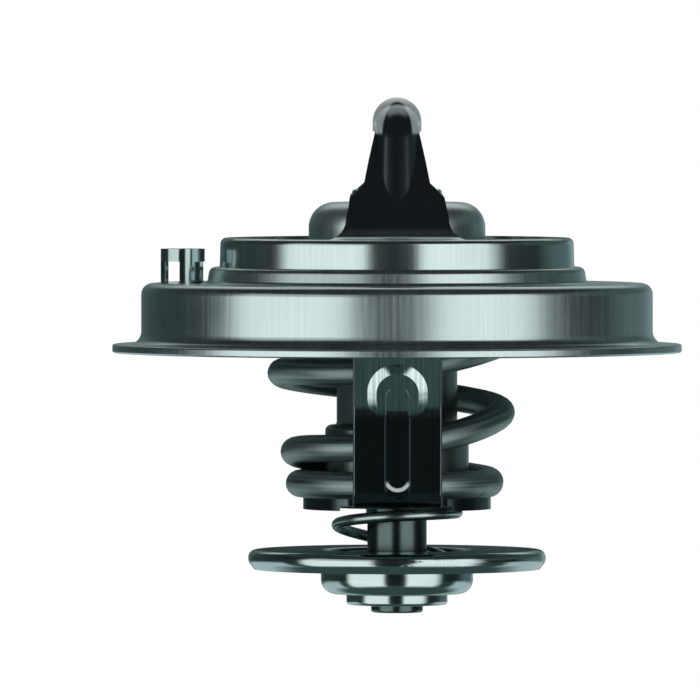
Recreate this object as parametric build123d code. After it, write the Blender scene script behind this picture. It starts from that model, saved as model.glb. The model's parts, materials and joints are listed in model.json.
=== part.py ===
from build123d import *
import os
from math import atan2, cos, pi, radians, sin, sqrt, tan

# Engine thermostat with a bypass disc, in millimetres, +Z up towards the bridge.
# The origin is the centre of the flange's underside. The bridge's legs and the
# yoke's arms stand at -Y and +Y, and the air vent stands at -X.

# Overall sizes
FLANGE_D = 67.0
BRIDGE_TOP_Z = 30.0
BYPASS_FACE_Z = -25.5
BYPASS_D = 35.0

# Clearances
RUNNING = 0.05         # radial, between pieces that slide on each other
PRESSED = 0.04         # radial, between pieces held together on a round face
SHUT_GAP = 0.1         # between flat faces that meet when the valves are shut
PASSING = 0.35         # radial, round the case where it passes the spring seat

# Flange plate: one drawn sheet
FLANGE_T = 1.0
RIM_W = 3.4            # flat rim outside the wall
WALL_FOOT_R = 2.5
WALL_TOP_R = 1.3
SHOULDER_Z = 8.15
COLLAR_SHARE = 0.731   # collar's radius as a share of the wall's
COLLAR_TAPER = 0.35    # the collar's foot is wider by this on the radius
COLLAR_FOOT_R = 0.5
COLLAR_TOP_Z = 10.2
COLLAR_EDGE_R = 0.8    # the collar's top, rolled in against the seat ring
EDGE_R = 0.25          # rounding on a cut edge of sheet

# Upper bridge: seat ring, two legs and the thimble over the piston
BRIDGE_T = 1.0
TIER_TOP_Z = 13.5
TIER_TOP_R = 0.7
TIER_TAPER = 0.2
SEAT_RING_W = 3.46     # seat ring's top, from its opening to its foot
CLAMP_W = 3.5          # width of the bridge's flange under the shoulder
CLAMP_FOOT_R = 1.2
LEG_INSET = 2.96       # leg's foot inside the seat ring's foot
LEG_FOOT_RUN = 1.5     # flat of the foot past its bend
LEG_FOOT_BEND_R = 1.5
CROWN_Y = 8.0
CROWN_DROP = 2.75      # thimble top down to the crown's flat strip
CROWN_BEND_R = 4.6
LEG_FOOT_HALF = 7.9
LEG_BASE_HALF = 6.0
LEG_SHOULDER_HALF = 5.5
LEG_NECK_HALF = 3.85
LEG_MID_HALF = 3.3
LEG_TOP_HALF = 2.6
LEG_FLARE_H = 2.4      # height of the flared foot above the seat ring
LEG_SHOULDER_H = 4.9   # height of the leg's shoulders above the seat ring
LEG_NECK_H = 6.4
LEG_MID_H = 9.2
LEG_TOP_H = 12.3
RIB_R = 2.6
RIB_DEPTH = 0.65       # the rib's centre lies this far under the sheet's face
RIB_DIVE_DEG = 10.0    # how much steeper than the leg the rib runs down into it
THIMBLE_D = 5.74
THIMBLE_SKIRT = 4.0    # thimble's height, top to lower edge

# Piston
PISTON_D = 3.6
PISTON_END_Z = -11.0
PISTON_END_R = 0.4

# Lower yoke: a strap with two arms and the spring seat
YOKE_T = 0.8
YOKE_W = 10.4
YOKE_SEAT_Z = -17.0
YOKE_HEAD_ROOM = 0.5   # between the arm's head and the valve's rim
YOKE_LEAN = 2.6        # how far the arm steps in below its head
YOKE_LEAN_LOW_Z = -6.2
YOKE_LEAN_TOP_Z = 0.7
YOKE_SEAT_BEND_R = 1.6
YOKE_LEAN_R = 4.0
YOKE_FOOT_BEND_R = 1.2
YOKE_EDGE_R = 0.25
SPRING_SEAT_D = 22.1
SPRING_SEAT_FILLET = 1.5
SPRING_SEAT_LIP = 1.4  # height of the turned-down edge
ARM_RIB_HALF = 1.55    # flat-backed rib down the arm
ARM_RIB_RISE = 0.6
ARM_RIB_DRAFT = 20.0   # slope of its flanks, in degrees
ARM_RIB_LOW = 10.35    # its lower end below the arm's bend
ARM_RIB_HIGH = 3.4     # its upper end above the bend
ARM_BOSS_HALF = 3.5    # broad boss that stiffens the lean
ARM_BOSS_RISE = 0.55
ARM_BOSS_DRAFT = 62.0
ARM_BOSS_HIGH = 5.8    # its upper end above the bend
ARM_PAD_RUN = 2.0      # how far a pad runs past the bend, inside the sheet
ARM_HOLLOW_EDGE = 0.3  # a hollow's edge inside its pad's edge
SEAT_CUT_SHARE = 1.1   # how much wider than the spring seat a cut through it is

# Air vent at the shoulder
VENT_SHARE = 0.642     # tube's diameter as a share of the shoulder's width
VENT_FROM_COLLAR = 0.25
VENT_WALL = 0.45
VENT_TOP_Z = 12.2
VENT_BAND_H = 1.5      # closed band over the windows
VENT_SILL_H = 0.15     # foot of the windows above the shoulder
VENT_LIP_T = 0.45
VENT_BOTTOM_Z = 4.2
VENT_SEAT_T = 0.6
VENT_FLARE_W = 0.6
VENT_FLARE_T = 0.5
VENT_PILLARS = 3
VENT_PILLAR_DEG = 40.0
VENT_TURN_DEG = 12.0   # first pillar, turned from the front towards +X
BALL_ROOM = 0.45       # radial, round the ball in its tube
BALL_SEAT_LAP = 0.5    # how far the ball overlaps its seat, on the radius
BALL_LIP_LAP = 0.4     # how far the tube's lip overlaps the ball
BALL_GAP = 0.05

# Valve hat and its rubber
HAT_T = 0.8
HAT_LAP = 1.4          # valve's rim past the seat's opening
DOME_D = 20.8
DOME_TOP_Z = 17.7
DOME_TOP_R = 3.0
DOME_FOOT_R = 1.2
SEAL_OVER_T = 1.2      # rubber above the rim
SEAL_UNDER_T = 0.5
SEAL_EDGE_T = 0.4
SEAL_OVER_W = 2.0
SEAL_UNDER_W = 0.6
SEAL_EDGE_R = 0.3

# Wax element
NECK_D = 8.3           # guide's neck through the hat
NECK_EDGE_R = 0.3
RETAINER_D = 10.6
RETAINER_T = 1.5
RETAINER_EDGE_R = 0.4
GUIDE_STEP = 0.35      # guide's foot past its body
GUIDE_TOP_R = 0.5
GUIDE_FOOT_T = 2.5
CASE_D = 16.9
CASE_STEP_W = 1.35     # case's neck inside its wide part
CASE_NECK_WALL = 0.75
CASE_WALL = 0.9
CASE_BOTTOM_R = 0.35
CASE_STEP_R = 0.7
CASE_NECK_FOOT_R = 0.4
CASE_TOP_R = 0.5
CASE_TOP_Z = 6.7
CASE_STEP_Z = -8.5
CASE_BOTTOM_Z = -18.2
CASE_LIP_T = 0.7
CASE_LEDGE_W = 0.85    # ledge inside the neck that carries the sleeve's flange
SLEEVE_D = 6.0
SLEEVE_FLANGE_T = 1.0
SLEEVE_END_T = 1.2
SLEEVE_END_R = 1.0
BACKUP_D = 6.8
BACKUP_T = 1.2

# Stem, bypass disc and stop washer
STEM_D = 7.0
SPIGOT_D = 4.6
RIVET_D = 6.1
RIVET_T = 0.9
RIVET_EDGE_R = 0.3
WASHER_D = 11.9
WASHER_T = 1.2
WASHER_EDGE_R = 0.45
BYPASS_T = 0.8
BYPASS_RIM_H = 2.3
BYPASS_RIM_R = 0.9
BYPASS_CURL_IN = 0.7   # the rim's lower edge, curled in
BYPASS_CURL_H = 0.9
BYPASS_CURL_R = 1.0
CUP_D = 17.9
CUP_DEPTH = 2.9        # cup's bottom below the disc's rim
CUP_EDGE_R = 1.0
CUP_BOTTOM_R = 0.9

# Springs: turns are counted from +X, and a coil's ends lie flat
MAIN_WIRE_D = 3.2
MAIN_CASE_ROOM = 1.15  # between the lowest turn and the case
MAIN_RIM_ROOM = 2.1    # highest turn inside the valve's rim
MAIN_SHIFT_X = -0.3
MAIN_TURNS = (-1.1, 3.85)
MAIN_RISE_TURNS = (0.1, 2.7)
MAIN_RAMP = 0.7
MAIN_SAG = 1.6         # how far the middle turns hang lower at the front
BYPASS_WIRE_D = 1.3
BYPASS_CUP_ROOM = 0.65   # lowest turn inside the cup
BYPASS_CASE_INSET = 0.7  # highest turn inside the case's edge
BYPASS_TURNS = (-1.6, 1.33)
BYPASS_RISE_TURNS = (-0.15, 0.62)
BYPASS_RAMP = 0.7
COIL_STEPS = 12        # path points in a turn

# Places that follow from the sizes above
rim_r = FLANGE_D / 2
wall_r = rim_r - RIM_W
collar_r = wall_r * COLLAR_SHARE
shoulder_under_z = SHOULDER_Z - FLANGE_T
seat_z = TIER_TOP_Z - BRIDGE_T
tier_foot_r = collar_r - FLANGE_T - PRESSED
clamp_r = tier_foot_r + CLAMP_W
seat_r = tier_foot_r - SEAT_RING_W
leg_foot_y = tier_foot_r - LEG_INSET
hat_r = seat_r + HAT_LAP
yoke_head_y = hat_r + SEAL_EDGE_T + YOKE_HEAD_ROOM
yoke_arm_y = yoke_head_y - YOKE_LEAN
arm_lean = atan2(YOKE_LEAN, YOKE_LEAN_TOP_Z - YOKE_LEAN_LOW_Z)
yoke_foot_z = shoulder_under_z - BRIDGE_T
bore_r = PISTON_D / 2 + RUNNING
rim_top_z = seat_z - SHUT_GAP - SEAL_OVER_T
rim_under_z = rim_top_z - HAT_T
thimble_r = THIMBLE_D / 2
thimble_z = BRIDGE_TOP_Z - thimble_r
guide_top_z = DOME_TOP_Z - HAT_T
guide_foot_top_z = CASE_TOP_Z - CASE_LIP_T
guide_foot_z = guide_foot_top_z - GUIDE_FOOT_T
ledge_z = guide_foot_z - SLEEVE_FLANGE_T
case_r = CASE_D / 2
case_neck_r = case_r - CASE_STEP_W
guide_foot_r = case_neck_r - CASE_NECK_WALL
guide_r = guide_foot_r - GUIDE_STEP
case_bore_r = guide_foot_r - CASE_LEDGE_W
cup_bottom_z = BYPASS_FACE_Z - CUP_DEPTH
cup_floor_z = cup_bottom_z + BYPASS_T
stem_end_z = cup_bottom_z - SHUT_GAP
washer_bottom_z = stem_end_z - WASHER_T
cup_r = CUP_D / 2 - BYPASS_T
vent_r = VENT_SHARE * (wall_r - collar_r) / 2
vent_x = -(collar_r + COLLAR_TAPER + VENT_FROM_COLLAR + vent_r)
vent_bore_r = vent_r - VENT_WALL
vent_flare_r = vent_r + VENT_FLARE_W
vent_seat_z = VENT_BOTTOM_Z + VENT_SEAT_T
ball_r = vent_bore_r - BALL_ROOM
vent_hole_r = ball_r - BALL_SEAT_LAP
ball_z = vent_seat_z + sqrt(ball_r**2 - vent_hole_r**2) + BALL_GAP
main_low_r = case_r + MAIN_CASE_ROOM + MAIN_WIRE_D / 2
main_high_r = hat_r - MAIN_RIM_ROOM - MAIN_WIRE_D / 2
bypass_low_r = cup_r - BYPASS_CUP_ROOM - BYPASS_WIRE_D / 2
bypass_high_r = case_r - BYPASS_CASE_INSET - BYPASS_WIRE_D / 2


def drawn_sheet(points, bends, sheet):
    """Revolve a sheet whose upper face follows (radius, height) points from the rim in."""
    upper = FilletPolyline(*points, radius=bends)
    profile = make_face(offset(upper, amount=sheet, side=Side.LEFT, closed=True))
    return revolve(Plane.XZ * profile, Axis.Z)


def turned(points, rounds=()):
    """Revolve an outline of (radius, height) points with some corners rounded."""
    outline = make_face(Polyline(*points, close=True))
    for corner, radius in rounds:
        vertex = outline.vertices().sort_by_distance((*corner, 0))[0]
        outline = fillet(vertex, radius)
    return revolve(Plane.XZ * outline, Axis.Z)


def ring(outer_r, inner_r, low_z, high_z):
    """A plain ring or sleeve between two heights."""
    height = high_z - low_z
    band = Circle(outer_r) - Circle(inner_r)
    return extrude(Pos(0, 0, low_z) * band, height)


def stamped_rib(path, radius, floor):
    """A rounded rib along a path in the YZ plane, above floor, with round ends."""
    keep = Pos(0, floor + radius) * Rectangle(2 * radius, 2 * radius)
    start = Plane(origin=path @ 0, x_dir=(-1, 0, 0), z_dir=path % 0)
    end = Plane(origin=path @ 1, x_dir=(-1, 0, 0), z_dir=path % 1)
    body = sweep(start * (Circle(radius) & keep), path=path)
    cap = Sphere(radius) & Pos(0, floor + radius, 0) * Box(2 * radius, 2 * radius, 2 * radius)
    return body + start * cap + end * cap


def rise(turn, middle, ramp):
    """Turns climbed so far, where the climb starts softly about a middle turn."""
    part = min(max((turn - middle) / ramp + 0.5, 0), 1)
    return ramp * (part**3 - part**4 / 2) + max(turn - middle - ramp / 2, 0)


def coil(wire_d, turns, climb, ramp, heights, radii, sag=0):
    """A round-wire spring with flat end turns and a cone from one radius to another."""
    low_z, high_z = heights
    low_r, high_r = radii
    pitch = (high_z - low_z) / (climb[1] - climb[0])
    count = round((turns[1] - turns[0]) * COIL_STEPS)
    points = []
    for step in range(count + 1):
        turn = turns[0] + (turns[1] - turns[0]) * step / count
        z = low_z + pitch * (rise(turn, climb[0], ramp) - rise(turn, climb[1], ramp))
        share = (z - low_z) / (high_z - low_z)
        r = low_r + (high_r - low_r) * share
        angle = 2 * pi * turn
        z -= sag * 4 * share * (1 - share) * min(sin(angle), 0) ** 2
        points.append((r * cos(angle), r * sin(angle), z))
    path = Spline(*points)
    section = Plane(origin=path @ 0, z_dir=path % 0) * Circle(wire_d / 2)
    return sweep(section, path=path)


def flange_plate():
    points = [
        (rim_r, FLANGE_T),
        (wall_r, FLANGE_T),
        (wall_r, SHOULDER_Z),
        (collar_r + COLLAR_TAPER, SHOULDER_Z),
        (collar_r, COLLAR_TOP_Z),
    ]
    plate = drawn_sheet(points, [WALL_FOOT_R, WALL_TOP_R, COLLAR_FOOT_R], FLANGE_T)
    rim_edges = plate.edges().filter_by(GeomType.CIRCLE).sort_by(SortBy.RADIUS)[-2:]
    plate = fillet(rim_edges, EDGE_R)
    collar_edges = plate.edges().filter_by(GeomType.CIRCLE).sort_by(Axis.Z)[-2:]
    plate = fillet(collar_edges.sort_by(SortBy.RADIUS)[-1], COLLAR_EDGE_R)
    vent_hole = Pos(vent_x, 0, shoulder_under_z) * Cylinder(vent_r + PRESSED, 4 * FLANGE_T)
    return plate - vent_hole


def leg_line():
    """The legs' outer face seen from the side, from the front foot to the back one."""
    foot_z = TIER_TOP_Z
    crown_z = BRIDGE_TOP_Z - CROWN_DROP
    foot_end = leg_foot_y + LEG_FOOT_RUN
    front = [(-foot_end, foot_z), (-leg_foot_y, foot_z), (-CROWN_Y, crown_z)]
    back = [(-y, z) for y, z in reversed(front)]
    bends = [LEG_FOOT_BEND_R, CROWN_BEND_R, CROWN_BEND_R, LEG_FOOT_BEND_R]
    return FilletPolyline(*front, *back, radius=bends)


def outside_legs():
    """All that lies outside the middle of the legs' sheet, as wide as the rib."""
    middle = offset(leg_line(), amount=BRIDGE_T / 2, side=Side.RIGHT, closed=False)
    front, back = sorted([middle @ 0, middle @ 1], key=lambda point: point.X)
    above_z = BRIDGE_TOP_Z + RIB_R
    lid = Polyline((front.X, front.Y), (front.X, above_z), (back.X, above_z), (back.X, back.Y))
    return extrude(Plane.YZ * make_face(middle.edges() + lid.edges()), RIB_R, both=True)


def leg_outline():
    """The legs seen from the front: flared feet, shoulders and a narrowing neck."""
    base_z = TIER_TOP_Z
    foot = Polyline((0, base_z - BRIDGE_T), (LEG_FOOT_HALF, base_z - BRIDGE_T), (LEG_FOOT_HALF, base_z))
    flare_top = (LEG_BASE_HALF, base_z + LEG_FLARE_H)
    flare = TangentArc(flare_top, (LEG_FOOT_HALF, base_z), tangent=(0, -1))
    side = Polyline(
        flare_top,
        (LEG_SHOULDER_HALF, base_z + LEG_SHOULDER_H),
        (LEG_NECK_HALF, base_z + LEG_NECK_H),
        (LEG_MID_HALF, base_z + LEG_MID_H),
        (LEG_TOP_HALF, base_z + LEG_TOP_H),
        (LEG_TOP_HALF, BRIDGE_TOP_Z),
        (0, BRIDGE_TOP_Z),
    )
    half = make_face([*foot.edges(), flare, *side.edges(), Line((0, BRIDGE_TOP_Z), (0, base_z - BRIDGE_T))])
    return half + mirror(half, Plane.YZ)


def bridge_rib_path():
    """The line under the crown's rib, which runs down into the legs and ends in them."""
    crown_z = BRIDGE_TOP_Z - CROWN_DROP
    leg_slope = atan2(crown_z - TIER_TOP_Z, leg_foot_y - CROWN_Y)
    top_y = CROWN_Y - RIB_DEPTH * tan(leg_slope / 2)
    top_z = crown_z - RIB_DEPTH
    slope = leg_slope + radians(RIB_DIVE_DEG)
    run = (RIB_R - RIB_DEPTH + PRESSED) / sin(radians(RIB_DIVE_DEG))
    end_y = top_y + run * cos(slope)
    end_z = top_z - run * sin(slope)
    points = [(-end_y, end_z), (-top_y, top_z), (top_y, top_z), (end_y, end_z)]
    bend = CROWN_BEND_R - RIB_DEPTH
    return Plane.YZ * FilletPolyline(*points, radius=[bend, bend])


def upper_bridge():
    points = [
        (clamp_r, shoulder_under_z),
        (tier_foot_r, shoulder_under_z),
        (tier_foot_r - TIER_TAPER, TIER_TOP_Z),
        (seat_r, TIER_TOP_Z),
    ]
    body = drawn_sheet(points, [CLAMP_FOOT_R, TIER_TOP_R], BRIDGE_T)
    leg_sheet = make_face(offset(leg_line(), amount=BRIDGE_T, side=Side.RIGHT, closed=True))
    legs = extrude(Plane.YZ * leg_sheet, LEG_FOOT_HALF + BRIDGE_T, both=True)
    legs &= extrude(Plane.XZ * leg_outline(), FLANGE_D / 2, both=True)
    legs &= Cylinder(tier_foot_r - TIER_TAPER - TIER_TOP_R, 4 * BRIDGE_TOP_Z)
    rib_path = bridge_rib_path()
    body += legs
    body += stamped_rib(rib_path, RIB_R, 0) & outside_legs()
    body -= stamped_rib(rib_path, RIB_R - BRIDGE_T, -RIB_R)
    skirt_h = THIMBLE_SKIRT - thimble_r
    body += Pos(0, 0, thimble_z) * Sphere(thimble_r)
    body -= Pos(0, 0, thimble_z - skirt_h - thimble_r) * Cylinder(2 * thimble_r, 2 * thimble_r)
    body += Pos(0, 0, thimble_z - skirt_h / 2) * Cylinder(thimble_r, skirt_h)
    inner_r = PISTON_D / 2 + PRESSED + RUNNING
    body -= Pos(0, 0, thimble_z) * Sphere(inner_r)
    body -= Pos(0, 0, thimble_z - thimble_r) * Cylinder(inner_r, 2 * thimble_r)
    notch = Pos(vent_x, 0, shoulder_under_z) * Cylinder(vent_flare_r + PASSING, 4 * BRIDGE_T)
    return body - notch


def piston():
    r = PISTON_D / 2
    rod = turned(
        [(0, PISTON_END_Z), (r, PISTON_END_Z), (r, thimble_z), (0, thimble_z)],
        [((r, PISTON_END_Z), PISTON_END_R)],
    )
    return rod + Pos(0, 0, thimble_z) * Sphere(r)


def yoke_line():
    """The yoke's inner face seen from the side, from the front foot to the back one."""
    front = [
        (-clamp_r, yoke_foot_z),
        (-yoke_head_y, yoke_foot_z),
        (-yoke_head_y, YOKE_LEAN_TOP_Z),
        (-yoke_arm_y, YOKE_LEAN_LOW_Z),
        (-yoke_arm_y, YOKE_SEAT_Z),
    ]
    back = [(-y, z) for y, z in reversed(front)]
    bends = [YOKE_FOOT_BEND_R, YOKE_LEAN_R, YOKE_LEAN_R, YOKE_SEAT_BEND_R]
    return FilletPolyline(*front, *back, radius=bends + bends[::-1])


def arm_face(lean):
    """The front arm's outer face from its bend, upright or leaning out."""
    bend_y = -(yoke_arm_y + YOKE_T)
    bend_z = YOKE_LEAN_LOW_Z - YOKE_T * tan(arm_lean / 2)
    return Plane(origin=(0, bend_y, bend_z), x_dir=(1, 0, 0), z_dir=(0, -cos(lean), -sin(lean)))


def pad_on_arm(face, half_w, low, high, rise, draft):
    """A pad with round ends struck out of the arm, and the hollow behind it."""
    middle = Pos(0, (low + high) / 2)
    outline = middle * SlotOverall(high - low, 2 * half_w, rotation=90)
    inner_half = half_w - ARM_HOLLOW_EDGE
    inner = middle * SlotOverall(high - low - 2 * ARM_HOLLOW_EDGE, 2 * inner_half, rotation=90)
    pad = extrude(face * outline, rise, taper=draft)
    hollow = extrude(face.offset(-YOKE_T) * inner, rise, taper=draft)
    return pad, hollow


def lower_yoke():
    strip = make_face(offset(yoke_line(), amount=YOKE_T, side=Side.RIGHT, closed=True))
    body = extrude(Plane.YZ * strip, YOKE_W / 2, both=True)
    body = fillet(body.faces().filter_by(Axis.X).edges(), YOKE_EDGE_R)
    plate_r = SPRING_SEAT_D / 2
    seat = Circle(plate_r) + Rectangle(YOKE_W, 2 * yoke_arm_y - 4 * YOKE_SEAT_BEND_R)
    inner_corners = seat.vertices().group_by(Axis.Y)[1:-1]
    corners = [v for group in inner_corners for v in group if abs(abs(v.X) - YOKE_W / 2) < 0.01]
    seat = fillet(corners, SPRING_SEAT_FILLET)
    body += extrude(Pos(0, 0, YOKE_SEAT_Z - YOKE_T) * seat, YOKE_T)
    lip = ring(plate_r, plate_r - YOKE_T, YOKE_SEAT_Z - SPRING_SEAT_LIP, YOKE_SEAT_Z)
    lip -= Box(YOKE_W + 2 * SPRING_SEAT_FILLET, SPRING_SEAT_D * SEAT_CUT_SHARE, 4 * abs(YOKE_SEAT_Z))
    body += lip
    body -= Pos(0, 0, YOKE_SEAT_Z) * Cylinder(case_r + PASSING, 4 * YOKE_T)
    upright, leaning = arm_face(0), arm_face(arm_lean)
    rib = (ARM_RIB_RISE, ARM_RIB_DRAFT)
    struck = [
        pad_on_arm(leaning, ARM_BOSS_HALF, -ARM_PAD_RUN, ARM_BOSS_HIGH, ARM_BOSS_RISE, ARM_BOSS_DRAFT),
        pad_on_arm(leaning, ARM_RIB_HALF, -ARM_PAD_RUN, ARM_RIB_HIGH, *rib),
        pad_on_arm(upright, ARM_RIB_HALF, -ARM_RIB_LOW, ARM_PAD_RUN, *rib),
    ]
    for pad, _ in struck:
        body += pad + mirror(pad, Plane.XZ)
    for _, hollow in struck:
        body -= hollow + mirror(hollow, Plane.XZ)
    return body


def vent_cage():
    lip_r = ball_r - BALL_LIP_LAP
    flare_top_z = shoulder_under_z
    tube = turned([
        (vent_hole_r, VENT_BOTTOM_Z),
        (vent_r, VENT_BOTTOM_Z),
        (vent_r, flare_top_z - VENT_FLARE_T),
        (vent_flare_r, flare_top_z - VENT_FLARE_T),
        (vent_flare_r, flare_top_z),
        (vent_r, flare_top_z),
        (vent_r, VENT_TOP_Z),
        (lip_r, VENT_TOP_Z),
        (lip_r, VENT_TOP_Z - VENT_LIP_T),
        (vent_bore_r, VENT_TOP_Z - VENT_LIP_T),
        (vent_bore_r, vent_seat_z),
        (vent_hole_r, vent_seat_z),
    ])
    low_z = SHOULDER_Z + VENT_SILL_H
    window_h = VENT_TOP_Z - VENT_BAND_H - low_z
    wedge_r = 3 * vent_r
    half_w = wedge_r * tan(radians(VENT_PILLAR_DEG / 2))
    wedge = make_face(Polyline((0, 0), (wedge_r, half_w), (wedge_r, -half_w), close=True))
    windows = Circle(2 * vent_r)
    for index in range(VENT_PILLARS):
        windows -= Rot(0, 0, -90 + VENT_TURN_DEG + index * 360 / VENT_PILLARS) * wedge
    return Pos(vent_x, 0, 0) * (tube - extrude(Pos(0, 0, low_z) * windows, window_h))


def vent_ball():
    return Pos(vent_x, 0, ball_z) * Sphere(ball_r)


def valve_hat():
    points = [
        (hat_r, rim_top_z),
        (DOME_D / 2, rim_top_z),
        (DOME_D / 2, DOME_TOP_Z),
        (NECK_D / 2 + PRESSED, DOME_TOP_Z),
    ]
    return drawn_sheet(points, [DOME_FOOT_R, DOME_TOP_R], HAT_T)


def valve_seal():
    edge_r = hat_r + SEAL_EDGE_T
    top_z = rim_top_z + SEAL_OVER_T
    points = [
        (hat_r - SEAL_OVER_W, rim_top_z),
        (hat_r, rim_top_z),
        (hat_r, rim_under_z),
        (hat_r - SEAL_UNDER_W, rim_under_z),
        (hat_r - SEAL_UNDER_W, rim_under_z - SEAL_UNDER_T),
        (edge_r, rim_under_z - SEAL_UNDER_T),
        (edge_r, top_z),
        (hat_r - SEAL_OVER_W, top_z),
    ]
    rounds = [((edge_r, top_z), SEAL_EDGE_R), ((hat_r - SEAL_OVER_W, top_z), 2 * SEAL_EDGE_R)]
    return turned(points, rounds)


def retaining_collar():
    inner = NECK_D / 2 + PRESSED
    outer = RETAINER_D / 2
    top_z = DOME_TOP_Z + RETAINER_T
    points = [(inner, DOME_TOP_Z), (outer, DOME_TOP_Z), (outer, top_z), (inner, top_z)]
    return turned(points, [((outer, top_z), RETAINER_EDGE_R)])


def element_guide():
    neck_r = NECK_D / 2
    neck_z = DOME_TOP_Z + RETAINER_T
    backup_r = BACKUP_D / 2 + PRESSED
    points = [
        (backup_r, guide_foot_z),
        (guide_foot_r, guide_foot_z),
        (guide_foot_r, guide_foot_top_z),
        (guide_r, guide_foot_top_z),
        (guide_r, guide_top_z),
        (neck_r, guide_top_z),
        (neck_r, neck_z),
        (bore_r, neck_z),
        (bore_r, guide_foot_z + BACKUP_T),
        (backup_r, guide_foot_z + BACKUP_T),
    ]
    return turned(points, [((neck_r, neck_z), NECK_EDGE_R), ((guide_r, guide_top_z), GUIDE_TOP_R)])


def backup_ring():
    return ring(BACKUP_D / 2, bore_r, guide_foot_z, guide_foot_z + BACKUP_T)


def rubber_sleeve():
    sleeve_r = SLEEVE_D / 2
    tip_z = PISTON_END_Z - SHUT_GAP
    end_z = tip_z - SLEEVE_END_T
    points = [
        (0, end_z),
        (sleeve_r, end_z),
        (sleeve_r, ledge_z),
        (guide_foot_r, ledge_z),
        (guide_foot_r, guide_foot_z),
        (bore_r, guide_foot_z),
        (bore_r, tip_z),
        (0, tip_z),
    ]
    return turned(points, [((sleeve_r, end_z), SLEEVE_END_R)])


def element_case():
    foot_room_r = guide_foot_r + PRESSED
    lip_r = guide_r + PRESSED
    wide_bore_r = case_r - CASE_WALL
    points = [
        (0, CASE_BOTTOM_Z),
        (case_r, CASE_BOTTOM_Z),
        (case_r, CASE_STEP_Z),
        (case_neck_r, CASE_STEP_Z),
        (case_neck_r, CASE_TOP_Z),
        (lip_r, CASE_TOP_Z),
        (lip_r, guide_foot_top_z),
        (foot_room_r, guide_foot_top_z),
        (foot_room_r, ledge_z),
        (case_bore_r, ledge_z),
        (case_bore_r, CASE_STEP_Z - CASE_WALL),
        (wide_bore_r, CASE_STEP_Z - CASE_WALL),
        (wide_bore_r, CASE_BOTTOM_Z + CASE_WALL),
        (0, CASE_BOTTOM_Z + CASE_WALL),
    ]
    rounds = [
        ((case_r, CASE_BOTTOM_Z), CASE_BOTTOM_R),
        ((case_r, CASE_STEP_Z), CASE_STEP_R),
        ((case_neck_r, CASE_STEP_Z), CASE_NECK_FOOT_R),
        ((case_neck_r, CASE_TOP_Z), CASE_TOP_R),
    ]
    return turned(points, rounds)


def wax_charge():
    bore = case_bore_r - PRESSED
    wide_bore = case_r - CASE_WALL - PRESSED
    step_z = CASE_STEP_Z - CASE_WALL - PRESSED
    floor_z = CASE_BOTTOM_Z + CASE_WALL + PRESSED
    body = turned([
        (0, floor_z),
        (wide_bore, floor_z),
        (wide_bore, step_z),
        (bore, step_z),
        (bore, ledge_z - PRESSED),
        (0, ledge_z - PRESSED),
    ])
    end_z = PISTON_END_Z - SHUT_GAP - SLEEVE_END_T - PRESSED
    pocket_r = SLEEVE_D / 2 + PRESSED
    pocket = turned(
        [(0, end_z), (pocket_r, end_z), (pocket_r, ledge_z), (0, ledge_z)],
        [((pocket_r, end_z), SLEEVE_END_R)],
    )
    return body - pocket


def guide_stem():
    stem_r = STEM_D / 2
    spigot_r = SPIGOT_D / 2
    rivet_r = RIVET_D / 2
    rivet_z = washer_bottom_z - RIVET_T
    points = [
        (0, rivet_z),
        (rivet_r, rivet_z),
        (rivet_r, washer_bottom_z),
        (spigot_r, washer_bottom_z),
        (spigot_r, stem_end_z),
        (stem_r, stem_end_z),
        (stem_r, CASE_BOTTOM_Z),
        (0, CASE_BOTTOM_Z),
    ]
    return turned(points, [((rivet_r, rivet_z), RIVET_EDGE_R)])


def stop_washer():
    outer = WASHER_D / 2
    inner = SPIGOT_D / 2 + PRESSED
    points = [
        (inner, washer_bottom_z),
        (outer, washer_bottom_z),
        (outer, stem_end_z),
        (inner, stem_end_z),
    ]
    return turned(points, [((outer, washer_bottom_z), WASHER_EDGE_R)])


def bypass_disc():
    edge_r = BYPASS_D / 2
    top_z = BYPASS_FACE_Z + BYPASS_RIM_H
    points = [
        (edge_r - BYPASS_CURL_IN, BYPASS_FACE_Z),
        (edge_r, BYPASS_FACE_Z + BYPASS_CURL_H),
        (edge_r, top_z),
        (cup_r, top_z),
        (cup_r, cup_floor_z),
        (STEM_D / 2 + RUNNING, cup_floor_z),
    ]
    bends = [BYPASS_CURL_R, BYPASS_RIM_R, CUP_EDGE_R, CUP_BOTTOM_R]
    return drawn_sheet(points, bends, BYPASS_T)


def main_spring():
    wire_r = MAIN_WIRE_D / 2
    heights = (YOKE_SEAT_Z + wire_r, rim_under_z - SHUT_GAP - wire_r)
    spring = coil(MAIN_WIRE_D, MAIN_TURNS, MAIN_RISE_TURNS, MAIN_RAMP, heights,
                  (main_low_r, main_high_r), MAIN_SAG)
    return Pos(MAIN_SHIFT_X, 0, 0) * spring


def bypass_spring():
    wire_r = BYPASS_WIRE_D / 2
    heights = (cup_floor_z + SHUT_GAP + wire_r, CASE_BOTTOM_Z - wire_r)
    return coil(BYPASS_WIRE_D, BYPASS_TURNS, BYPASS_RISE_TURNS, BYPASS_RAMP, heights,
                (bypass_low_r, bypass_high_r))


PIECES = [
    flange_plate,
    upper_bridge,
    lower_yoke,
    piston,
    main_spring,
    vent_cage,
    vent_ball,
    valve_hat,
    valve_seal,
    retaining_collar,
    element_guide,
    backup_ring,
    rubber_sleeve,
    wax_charge,
    element_case,
    guide_stem,
    stop_washer,
    bypass_disc,
    bypass_spring,
]

os.makedirs("parts", exist_ok=True)
for make in PIECES:
    export_step(make(), f"parts/{make.__name__}.step")
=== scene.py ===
# %% [markdown]
# # An engine thermostat, dressed for its portrait
#
# The solids of this thermostat come from its CAD model, in metres, with the flange's
# underside at height zero. This lesson gives them finishes, makes again the pieces that
# need a finer or a softer shape, and lights them as a studio would light bright metal.

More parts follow.
